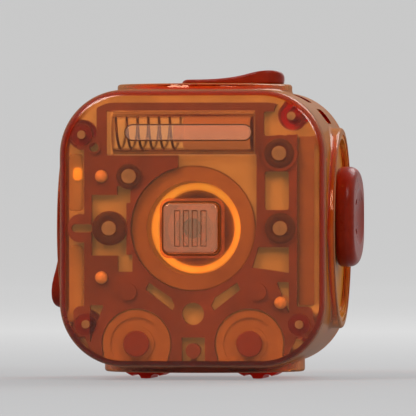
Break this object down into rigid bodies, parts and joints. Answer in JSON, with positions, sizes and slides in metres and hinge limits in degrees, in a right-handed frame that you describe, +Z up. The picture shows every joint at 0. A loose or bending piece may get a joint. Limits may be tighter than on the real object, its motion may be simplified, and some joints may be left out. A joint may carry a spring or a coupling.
{
  "type": "educational coding robot",
  "caption": "Cube-shaped see-through coding robot on powered rollers, with lever dials, a side knob, a front push button, a lit ring, a sprung plunger and its chassis inside.",
  "frame": {"origin": "on the floor, under the middle of the body", "axes": "+X to the right as seen from the front, towards the knob; +Y from the front, with its push button, to the back; +Z up"},
  "size_m": [0.0929, 0.0825, 0.0922],
  "materials": {
    "amber_shell": "clear amber polycarbonate, glossy",
    "amber_trim": "clear amber plastic of the inner mouldings",
    "red_control": "deep red see-through plastic, soft gloss",
    "frame_red": "red-brown moulded plastic",
    "orange_part": "orange moulded plastic",
    "glow": "lit light guide",
    "clear_tube": "clear plastic",
    "roller_rubber": "dark red rubber, moulded tread",
    "steel": "plain steel",
    "spring_steel": "spring steel wire",
    "brass_part": "sintered bronze",
    "board_green": "circuit board with solder mask",
    "battery_wrap": "wrapped lithium cell",
    "black_part": "black moulded plastic",
    "gear_white": "acetal",
    "motor_can": "plated steel can",
    "diffuser_plate": "orange light-spreading plate, softly lit",
    "button_clear": "clear brown plastic with moulded ribs"
  },
  "bodies": {
    "body": {"axle_bracket": "frame_red", "axle_bushes": "brass_part", "base_plate": "amber_shell", "battery": "battery_wrap", "bearing_caps": "orange_part", "button_seat": "orange_part", "button_spring": "spring_steel", "button_switch": "black_part", "centre_drum": "orange_part", "chassis_frame": "frame_red", "chassis_screws": "steel", "cover_screws": "steel", "frame_spacers": "steel", "front_cover": "amber_shell", "glow_ring": "glow", "indicator_leds": "glow", "left_bracket": "frame_red", "left_dish": "amber_trim", "left_encoder": "black_part", "left_motor": "motor_can", "light_diffuser": "diffuser_plate", "main_board": "board_green", "main_shell": "amber_shell", "plunger_spring": "spring_steel", "plunger_tube": "clear_tube", "power_switch": "black_part", "rear_cover": "amber_shell", "rear_frame": "frame_red", "right_bracket": "frame_red", "right_dish": "amber_trim", "right_encoder": "black_part", "right_motor": "motor_can", "speaker": "black_part", "top_bracket": "frame_red", "top_dish": "amber_trim", "top_encoder": "black_part", "tube_cap": "clear_tube", "usb_port": "steel", "window_lens": "clear_tube"},
    "front_button": {"front_button": "button_clear"},
    "left_control": {"left_rotor": "orange_part", "left_dial": "amber_trim", "left_lever": "red_control"},
    "top_control": {"top_rotor": "orange_part", "top_dial": "amber_trim", "top_lever": "red_control"},
    "right_control": {"right_rotor": "orange_part", "right_knob": "red_control"},
    "left_roller": {"left_axle": "steel", "left_drive_gear": "gear_white", "left_roller_hub": "orange_part", "left_tyre": "roller_rubber"},
    "right_roller": {"right_axle": "steel", "right_drive_gear": "gear_white", "right_roller_hub": "orange_part", "right_tyre": "roller_rubber"},
    "left_motor_shaft": {"left_pinion": "gear_white"},
    "right_motor_shaft": {"right_pinion": "gear_white"},
    "plunger": {"plunger": "orange_part"},
    "power_slider": {"power_slider": "black_part"}
  },
  "joints": [
    {"name": "front_button_press", "type": "slide", "parent": "body", "child": "front_button", "axis": [0, 1, 0], "range_m": [0, 0.0012], "stiffness_N_per_m": 400, "springref_m": -0.001, "deforming": ["button_spring"]},
    {"name": "left_control_turn", "type": "hinge", "parent": "body", "child": "left_control", "pos_m": [-0.0395, 0, 0.045], "axis": [-1, 0, 0], "range_deg": [-90, 90]},
    {"name": "top_control_turn", "type": "hinge", "parent": "body", "child": "top_control", "pos_m": [0, 0, 0.086], "axis": [0, 0, 1], "range_deg": [-90, 90]},
    {"name": "right_control_turn", "type": "hinge", "parent": "body", "child": "right_control", "pos_m": [0.0395, 0, 0.045], "axis": [1, 0, 0], "range_deg": [-150, 150]},
    {"name": "left_roller_spin", "type": "hinge", "parent": "body", "child": "left_roller", "pos_m": [-0.0168, 0, 0.0108], "axis": [0, 1, 0], "continuous": true},
    {"name": "right_roller_spin", "type": "hinge", "parent": "body", "child": "right_roller", "pos_m": [0.0168, 0, 0.0108], "axis": [0, 1, 0], "continuous": true},
    {"name": "left_motor_spin", "type": "hinge", "parent": "body", "child": "left_motor_shaft", "pos_m": [-0.01847, 0, 0.02025], "axis": [0, 1, 0], "continuous": true},
    {"name": "right_motor_spin", "type": "hinge", "parent": "body", "child": "right_motor_shaft", "pos_m": [0.01847, 0, 0.02025], "axis": [0, 1, 0], "continuous": true},
    {"name": "plunger_slide", "type": "slide", "parent": "body", "child": "plunger", "axis": [-1, 0, 0], "range_m": [0, 0.007], "stiffness_N_per_m": 60, "springref_m": -0.002, "deforming": ["plunger_spring"]},
    {"name": "power_slide", "type": "slide", "parent": "body", "child": "power_slider", "axis": [1, 0, 0], "range_m": [0, 0.003]}
  ],
  "couplings": [
    {"joint": "left_motor_spin", "follows": "left_roller_spin", "ratio": -1.6667},
    {"joint": "right_motor_spin", "follows": "right_roller_spin", "ratio": -1.6667}
  ]
}
